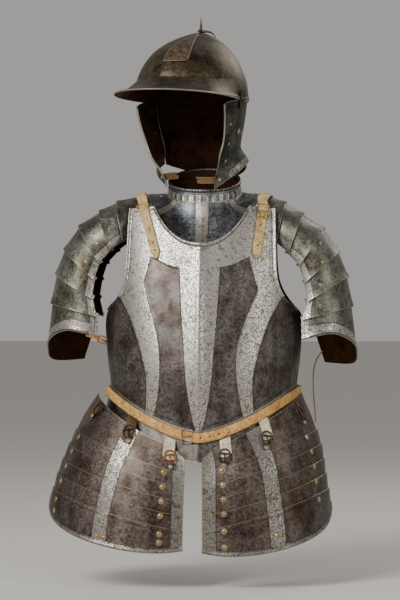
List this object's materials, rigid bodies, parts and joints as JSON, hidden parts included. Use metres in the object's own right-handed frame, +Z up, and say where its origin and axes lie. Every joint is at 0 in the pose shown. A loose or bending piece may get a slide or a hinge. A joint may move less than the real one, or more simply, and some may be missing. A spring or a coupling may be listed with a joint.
{
  "type": "corselet armour",
  "caption": "Foot soldier's half armour: open helmet with hinged cheek pieces, gorget, ridged breastplate, laminated arms and thigh plates, on leather straps.",
  "frame": {"origin": "between the shoulders of whoever wears it, on the line where the straps rest, 190 mm below the helmet's rim", "axes": "+Z up, +X to the right of someone looking at the front, -Y out of the breastplate's front"},
  "size_m": [0.5896, 0.3379, 1.004],
  "materials": {
    "plate_steel": "dark fields and bright pitted bands",
    "lame_steel": "dark worn plates with bright edges",
    "helmet_steel": "brown-black patina with bright worn edges",
    "rusty_iron": "rusty",
    "tan_leather": "worn buff leather",
    "belt_leather": "smooth orange-tan leather",
    "buff_leather": "whitened buff leather",
    "brass": "old rubbed brass rivets and buckles"
  },
  "bodies": {
    "armour": {"breastplate": "plate_steel", "backplate": "plate_steel", "waist_plate": "plate_steel", "gorget_front": "plate_steel", "gorget_back": "plate_steel", "collar_upper": "plate_steel", "collar_lower": "plate_steel", "arm_left_lame_1": "lame_steel", "arm_left_lame_2": "lame_steel", "arm_left_lame_3": "lame_steel", "arm_left_lame_4": "lame_steel", "arm_left_lame_5": "lame_steel", "arm_left_lame_6": "lame_steel", "arm_left_lame_7": "lame_steel", "thigh_left_lame_1": "lame_steel", "thigh_left_lame_2": "lame_steel", "thigh_left_lame_3": "lame_steel", "thigh_left_lame_4": "lame_steel", "thigh_left_lame_5": "lame_steel", "thigh_left_lame_6": "lame_steel", "shoulder_strap_left": "tan_leather", "hanger_left_inner": "buff_leather", "hanger_left_middle": "buff_leather", "hanger_left_outer": "buff_leather", "hinge_skull_left": "helmet_steel", "arm_right_lame_1": "lame_steel", "arm_right_lame_2": "lame_steel", "arm_right_lame_3": "lame_steel", "arm_right_lame_4": "lame_steel", "arm_right_lame_5": "lame_steel", "arm_right_lame_6": "lame_steel", "arm_right_lame_7": "lame_steel", "thigh_right_lame_1": "lame_steel", "thigh_right_lame_2": "lame_steel", "thigh_right_lame_3": "lame_steel", "thigh_right_lame_4": "lame_steel", "thigh_right_lame_5": "lame_steel", "thigh_right_lame_6": "lame_steel", "shoulder_strap_right": "tan_leather", "hanger_right_inner": "buff_leather", "hanger_right_middle": "buff_leather", "hanger_right_outer": "buff_leather", "hinge_skull_right": "helmet_steel", "helmet_skull": "helmet_steel", "helmet_finial": "helmet_steel", "helmet_nape": "helmet_steel", "helmet_front_plate": "rusty_iron", "arm_buckle": "rusty_iron", "waist_belt": "belt_leather", "arm_strap": "belt_leather"},
    "cheek_left": {"cheek_left": "helmet_steel", "hinge_cheek_left": "helmet_steel", "chin_tab_left": "tan_leather"},
    "cheek_right": {"cheek_right": "helmet_steel", "hinge_cheek_right": "helmet_steel", "chin_tab_right": "tan_leather"}
  },
  "joints": [
    {"name": "cheek_left_hinge", "type": "hinge", "parent": "armour", "child": "cheek_left", "pos_m": [-0.11367, 0.01502, 0.1866], "axis": [0.4067, 0.9135, 0], "range_deg": [0, 60]},
    {"name": "cheek_right_hinge", "type": "hinge", "parent": "armour", "child": "cheek_right", "pos_m": [0.07818, -0.0704, 0.1866], "axis": [-0.4067, -0.9135, 0], "range_deg": [0, 60]}
  ]
}
